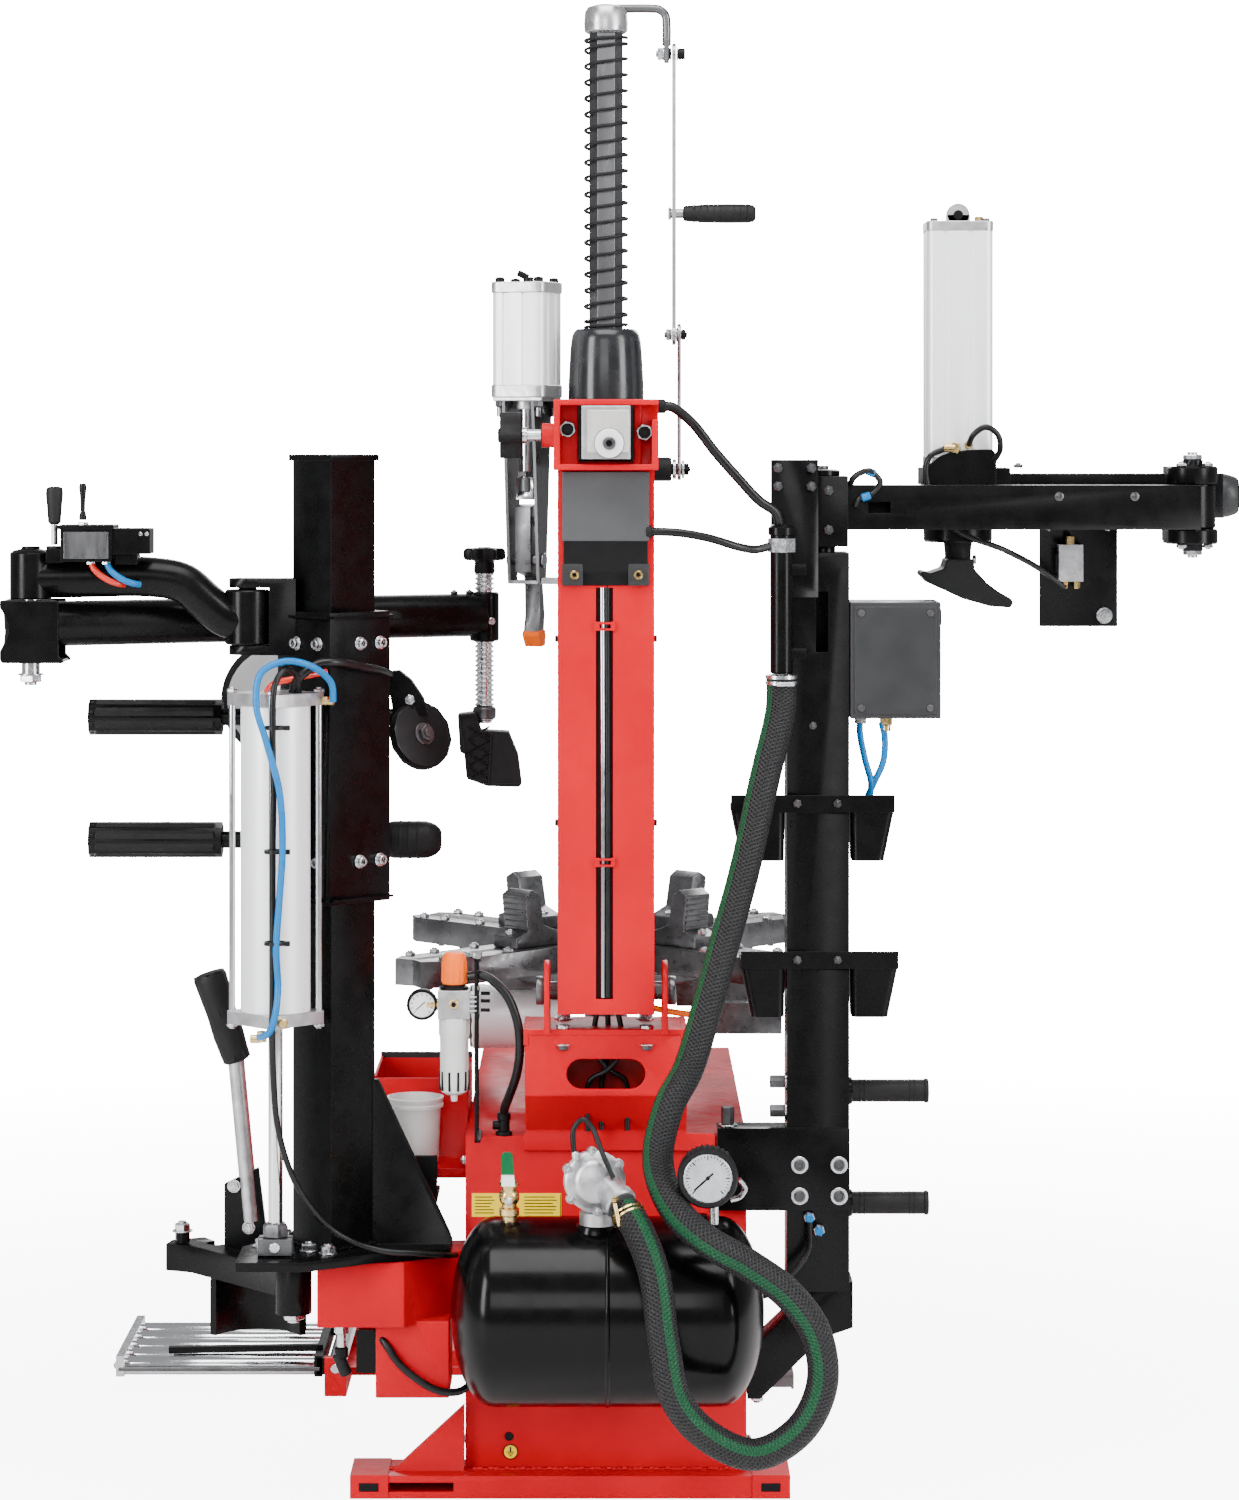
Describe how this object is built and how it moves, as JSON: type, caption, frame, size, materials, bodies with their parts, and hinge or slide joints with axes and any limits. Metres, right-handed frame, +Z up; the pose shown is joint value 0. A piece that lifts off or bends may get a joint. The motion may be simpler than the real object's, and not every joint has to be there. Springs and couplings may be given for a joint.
{
  "type": "tire changer machine",
  "caption": "Tower-type garage tire changer with a tilting column, clamping turntable, bead breaker, wheel lift and assist arms on two side posts.",
  "frame": {"origin": "on the floor under the middle of the cabinet, on the underside of the base frame's cross member", "axes": "+Z up, +Y towards the operator's side, -Y towards the air tank at the rear, +X towards the press column"},
  "size_m": [1.641, 1.2235, 1.977],
  "materials": {
    "red_paint": "gloss powder coat",
    "black_paint": "gloss powder coat",
    "grey_cover": "satin moulded plastic",
    "steel": "machined, lightly oiled",
    "chrome": "polished rod",
    "cast_steel": "sand-cast, brushed faces",
    "aluminium": "satin anodised",
    "rubber": "matte",
    "hose": "braided cover with a green line",
    "cable": "smooth sleeve",
    "blue_hose": "smooth air line",
    "white_plastic": "satin",
    "orange_plastic": "satin",
    "green_plastic": "dipped sleeve",
    "grey_pedal": "ribbed rubber"
  },
  "bodies": {
    "root": {"base_frame": "red_paint", "cabinet": "red_paint", "drive_unit": "cast_steel", "saddle_bracket": "red_paint", "tilt_pin": "steel", "outrigger_beam": "red_paint", "tool_tray": "red_paint", "lube_bucket": "white_plastic", "filter_unit": "aluminium", "air_tank": "black_paint", "blast_valve": "aluminium", "inflator_hose": "hose", "assist_post": "black_paint", "lift_piston_rod": "chrome", "press_column": "black_paint", "control_cabinet": "grey_cover", "bin_rack_upper": "black_paint", "bin_rack_lower": "black_paint"},
    "tower": {"tower_column": "red_paint", "rear_cover": "grey_cover", "head_cable_upper": "cable", "head_cable_lower": "cable"},
    "arm": {"slide_arm": "steel", "shaft_spring": "black_paint"},
    "shaft": {"hex_shaft": "steel", "mount_head": "cast_steel", "tool_cylinder": "aluminium"},
    "carriage": {"carriage": "black_paint", "lift_barrel": "aluminium", "lift_hose": "blue_hose"},
    "lock_knob": {"lock_knob": "rubber"},
    "upper_link": {"upper_link": "steel"},
    "lower_link": {"lower_link": "steel"},
    "tool_rod": {"tool_rod": "chrome"},
    "tool_lever": {"tool_lever": "cast_steel"},
    "turntable": {"turntable": "cast_steel"},
    "jaw_1": {"jaw_1": "cast_steel"},
    "jaw_2": {"jaw_2": "cast_steel"},
    "jaw_3": {"jaw_3": "cast_steel"},
    "jaw_4": {"jaw_4": "cast_steel"},
    "assist_arm_inner": {"assist_arm_inner": "black_paint"},
    "joystick": {"joystick": "rubber"},
    "toggle_switch": {"toggle_switch": "chrome"},
    "assist_arm_outer": {"assist_arm_outer": "black_paint"},
    "presser_screw": {"presser_screw": "chrome"},
    "disc_arm": {"disc_arm": "black_paint"},
    "bead_disc": {"bead_disc": "grey_cover"},
    "roller_arm": {"roller_arm": "black_paint"},
    "bead_roller": {"bead_roller": "rubber"},
    "bead_breaker": {"bead_breaker": "black_paint"},
    "wheel_lift": {"wheel_lift": "steel"},
    "press_arm_inner": {"press_arm_inner": "black_paint"},
    "press_arm_outer": {"press_arm_outer": "black_paint"},
    "press_foot": {"press_foot": "rubber"},
    "front_pedal_1": {"front_pedal_1": "grey_pedal"},
    "front_pedal_2": {"front_pedal_2": "grey_pedal"},
    "side_pedal": {"side_pedal": "grey_pedal"},
    "filter_knob": {"filter_knob": "orange_plastic"},
    "ball_valve_handle": {"ball_valve_handle": "green_plastic"}
  },
  "joints": [
    {"name": "tower_tilt", "type": "hinge", "parent": "root", "child": "tower", "pos_m": [0, -0.42, 0.665], "axis": [1, 0, 0], "range_deg": [0, 22]},
    {"name": "arm_slide", "type": "slide", "parent": "tower", "child": "arm", "axis": [0, 1, 0], "range_m": [-0.05, 0.08]},
    {"name": "shaft_slide", "type": "slide", "parent": "arm", "child": "shaft", "axis": [0, 0, -1], "range_m": [0, 0.25], "stiffness_N_per_m": 900, "springref_m": -0.28, "deforming": ["shaft_spring"]},
    {"name": "upper_link_swing", "type": "hinge", "parent": "shaft", "child": "upper_link", "pos_m": [0.092, -0.25, 1.909], "axis": [1, 0, 0], "range_deg": [0, 28.4]},
    {"name": "lower_link_swing", "type": "hinge", "parent": "arm", "child": "lower_link", "pos_m": [0.099, -0.25, 1.347], "axis": [1, 0, 0], "range_deg": [-98, 0]},
    {"name": "tool_lever_swing", "type": "hinge", "parent": "shaft", "child": "tool_lever", "pos_m": [-0.107, -0.25, 1.224], "axis": [0.9354, -0.3535, 0], "range_deg": [0, 25]},
    {"name": "tool_rod_slide", "type": "slide", "parent": "shaft", "child": "tool_rod", "axis": [0, 0, -1], "range_m": [0, 0.02]},
    {"name": "lock_knob_turn", "type": "hinge", "parent": "tower", "child": "lock_knob", "pos_m": [-0.12, -0.42, 1.393], "axis": [1, 0, 0], "range_deg": [0, 270]},
    {"name": "table_spin", "type": "hinge", "parent": "root", "child": "turntable", "pos_m": [0, 0.03, 0.66], "axis": [0, 0, 1], "continuous": true},
    {"name": "jaw_1_slide", "type": "slide", "parent": "turntable", "child": "jaw_1", "axis": [0.7071, 0.7071, 0], "range_m": [-0.03, 0.17]},
    {"name": "jaw_2_slide", "type": "slide", "parent": "turntable", "child": "jaw_2", "axis": [-0.7071, 0.7071, 0], "range_m": [-0.03, 0.17]},
    {"name": "jaw_3_slide", "type": "slide", "parent": "turntable", "child": "jaw_3", "axis": [-0.7071, -0.7071, 0], "range_m": [-0.03, 0.17]},
    {"name": "jaw_4_slide", "type": "slide", "parent": "turntable", "child": "jaw_4", "axis": [0.7071, -0.7071, 0], "range_m": [-0.03, 0.17]},
    {"name": "carriage_lift", "type": "slide", "parent": "root", "child": "carriage", "axis": [0, 0, 1], "range_m": [-0.2, 0.13]},
    {"name": "shoulder_swing", "type": "hinge", "parent": "carriage", "child": "assist_arm_inner", "pos_m": [-0.47, -0.425, 1.15], "axis": [0, 0, 1], "range_deg": [0, 45]},
    {"name": "joystick_tilt", "type": "hinge", "parent": "assist_arm_inner", "child": "joystick", "pos_m": [-0.714, -0.49, 1.254], "axis": [1, 0, 0], "range_deg": [-20, 20], "stiffness_Nm_per_rad": 2},
    {"name": "toggle_tilt", "type": "hinge", "parent": "assist_arm_inner", "child": "toggle_switch", "pos_m": [-0.677, -0.492, 1.285], "axis": [1, 0, 0], "range_deg": [-15, 15]},
    {"name": "elbow_swing", "type": "hinge", "parent": "assist_arm_inner", "child": "assist_arm_outer", "pos_m": [-0.747, -0.473, 1.14], "axis": [0, 0, 1], "range_deg": [0, 60]},
    {"name": "presser_travel", "type": "slide", "parent": "assist_arm_outer", "child": "presser_screw", "axis": [0, 0, 1], "range_m": [-0.022, 0.085]},
    {"name": "disc_arm_swing", "type": "hinge", "parent": "carriage", "child": "disc_arm", "pos_m": [-0.357, -0.312, 1.016], "axis": [0, 0, 1], "range_deg": [-8, 40]},
    {"name": "bead_disc_spin", "type": "hinge", "parent": "disc_arm", "child": "bead_disc", "pos_m": [-0.44, -0.256, 1.036], "axis": [0, 1, 0], "continuous": true},
    {"name": "roller_arm_swing", "type": "hinge", "parent": "carriage", "child": "roller_arm", "pos_m": [-0.357, -0.312, 0.852], "axis": [0, 0, 1], "range_deg": [-8, 40]},
    {"name": "bead_roller_spin", "type": "hinge", "parent": "roller_arm", "child": "bead_roller", "pos_m": [-0.256, -0.312, 0.852], "axis": [1, 0, 0], "continuous": true},
    {"name": "breaker_swing", "type": "hinge", "parent": "root", "child": "bead_breaker", "pos_m": [-0.41, -0.42, 0.28], "axis": [0, 0, 1], "range_deg": [-12, 30]},
    {"name": "wheel_lift_swing", "type": "hinge", "parent": "root", "child": "wheel_lift", "pos_m": [-0.392, 0.29, 0.04], "axis": [0, 1, 0], "range_deg": [0, 75]},
    {"name": "press_inner_swing", "type": "hinge", "parent": "root", "child": "press_arm_inner", "pos_m": [0.287, -0.347, 1.29], "axis": [0, 0, 1], "range_deg": [-15, 75]},
    {"name": "press_outer_swing", "type": "hinge", "parent": "press_arm_inner", "child": "press_arm_outer", "pos_m": [0.788, -0.29, 1.3], "axis": [0, 0, 1], "range_deg": [-105, 0]},
    {"name": "press_foot_travel", "type": "slide", "parent": "press_arm_outer", "child": "press_foot", "axis": [0, 0, -1], "range_m": [0, 0.25]},
    {"name": "front_pedal_1_press", "type": "hinge", "parent": "root", "child": "front_pedal_1", "pos_m": [-0.09, 0.345, 0.058], "axis": [1, 0, 0], "range_deg": [-10, 0], "stiffness_Nm_per_rad": 15, "springref_deg": 20.05},
    {"name": "front_pedal_2_press", "type": "hinge", "parent": "root", "child": "front_pedal_2", "pos_m": [0.09, 0.345, 0.058], "axis": [1, 0, 0], "range_deg": [-10, 0], "stiffness_Nm_per_rad": 15, "springref_deg": 20.05},
    {"name": "side_pedal_press", "type": "hinge", "parent": "root", "child": "side_pedal", "pos_m": [0.15, 0, 0.062], "axis": [0, 1, 0], "range_deg": [0, 12], "stiffness_Nm_per_rad": 15, "springref_deg": -20.05},
    {"name": "filter_knob_turn", "type": "hinge", "parent": "root", "child": "filter_knob", "pos_m": [-0.199, -0.42, 0.69], "axis": [0, 0, 1], "range_deg": [-180, 180]},
    {"name": "ball_valve_turn", "type": "hinge", "parent": "root", "child": "ball_valve_handle", "pos_m": [-0.124, -0.565, 0.426], "axis": [0, 1, 0], "range_deg": [0, 90]}
  ],
  "couplings": [
    {"joint": "upper_link_swing", "follows": "shaft_slide", "rad_per_m": 1.969},
    {"joint": "lower_link_swing", "follows": "shaft_slide", "rad_per_m": -6.814},
    {"joint": "tool_rod_slide", "follows": "tool_lever_swing", "m_per_rad": 0.04},
    {"joint": "jaw_2_slide", "follows": "jaw_1_slide", "ratio": 1},
    {"joint": "jaw_3_slide", "follows": "jaw_1_slide", "ratio": 1},
    {"joint": "jaw_4_slide", "follows": "jaw_1_slide", "ratio": 1}
  ]
}
